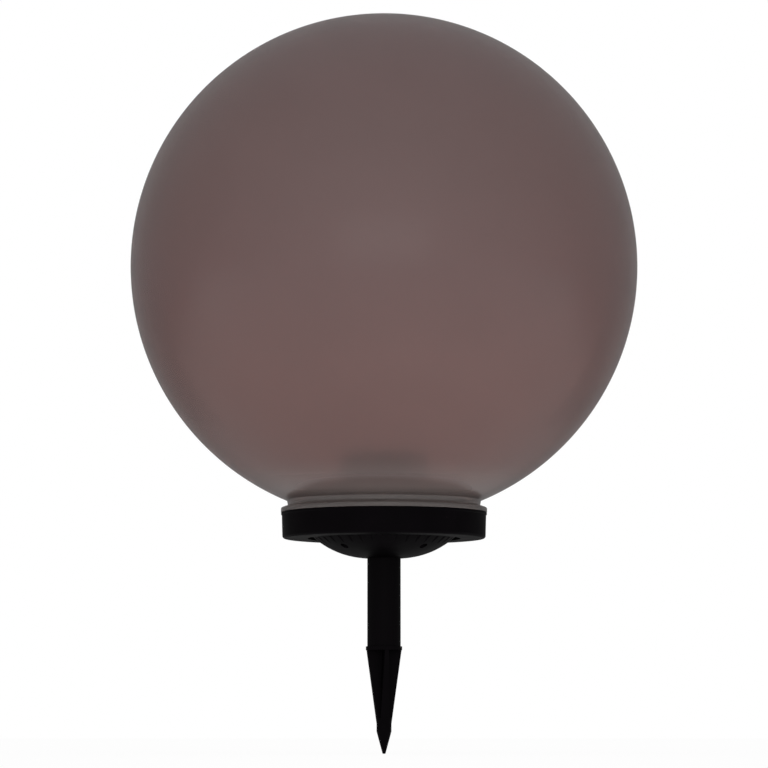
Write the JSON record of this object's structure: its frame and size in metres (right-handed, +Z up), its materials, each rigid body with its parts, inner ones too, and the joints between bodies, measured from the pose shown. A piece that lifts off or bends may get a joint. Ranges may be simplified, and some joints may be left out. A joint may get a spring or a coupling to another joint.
{
  "type": "garden globe light",
  "caption": "Smoked translucent globe that screws onto a round black base with a domed underside, on a tube stake with a finned ground spike; solar lamp module inside.",
  "frame": {"origin": "on the stake's axis at the ground line, the top face of the spike's collar", "axes": "+Z up along the stake to the top of the globe; the side seen in the picture faces -Y; the push button is on the +Y side"},
  "size_m": [0.5, 0.4998, 0.7284],
  "materials": {
    "globe_smoke": "smoked mauve-brown translucent plastic, satin sheen",
    "black_abs": "black moulded plastic, fine satin grain",
    "black_tube": "black extruded plastic, satin",
    "button_rubber": "black soft-touch",
    "seal_silicone": "dark grey silicone, matt",
    "screw_steel": "zinc-plated, satin",
    "contact_nickel": "nickel-plated spring strip",
    "board_green": "green solder mask",
    "board_white": "white solder mask",
    "board_black": "black laminate",
    "component_black": "moulded black epoxy",
    "switch_body": "dark plastic body",
    "light_package": "yellowish resin in a white package",
    "window_frosted": "frosted clear plastic",
    "resin_clear": "clear potting resin, glossy",
    "solar_cell": "dark blue silicon",
    "cell_wrap": "blue shrink wrap",
    "wire_red": "red insulation",
    "wire_black": "black insulation"
  },
  "bodies": {
    "spike": {"ground_spike": "black_abs"},
    "tube": {"stake_tube": "black_tube"},
    "base": {"base_housing": "black_abs", "dome_cover": "black_abs", "dome_screws": "screw_steel", "module_cover": "black_abs", "module_seal": "seal_silicone", "module_screws": "screw_steel", "light_board": "board_white", "lights": "light_package", "light_window": "window_frosted", "solar_board": "board_black", "solar_cells": "solar_cell", "solar_cover": "resin_clear", "controller_board": "board_green", "board_components": "component_black", "board_screws": "screw_steel", "power_switch": "switch_body", "button_grommet": "seal_silicone", "battery_tray": "black_abs", "battery_cell": "cell_wrap", "battery_spring": "contact_nickel", "battery_contacts": "contact_nickel", "battery_lead_black": "wire_black", "battery_lead_red": "wire_red", "light_lead_black": "wire_black", "light_lead_red": "wire_red", "solar_lead_black": "wire_black", "solar_lead_red": "wire_red"},
    "seal": {"globe_seal": "seal_silicone"},
    "globe": {"globe": "globe_smoke", "globe_neck": "globe_smoke"},
    "button": {"power_button": "button_rubber"}
  },
  "joints": [
    {"name": "tube_pull_off", "type": "slide", "parent": "spike", "child": "tube", "axis": [0, 0, 1], "range_m": [0, 0.03]},
    {"name": "base_pull_off", "type": "slide", "parent": "tube", "child": "base", "axis": [0, 0, 1], "range_m": [0, 0.03]},
    {"name": "globe_turn", "type": "hinge", "parent": "base", "child": "seal", "pos_m": [0, 0, 0.12], "axis": [0, 0, 1], "range_deg": [0, 360]},
    {"name": "globe_lift", "type": "slide", "parent": "seal", "child": "globe", "axis": [0, 0, 1], "range_m": [0, 0.024]},
    {"name": "power_press", "type": "slide", "parent": "base", "child": "button", "axis": [0, 0, 1], "range_m": [0, 0.0018], "stiffness_N_per_m": 400, "springref_m": -0.002}
  ],
  "couplings": [
    {"joint": "globe_lift", "follows": "globe_turn", "m_per_rad": 0.0038197}
  ]
}
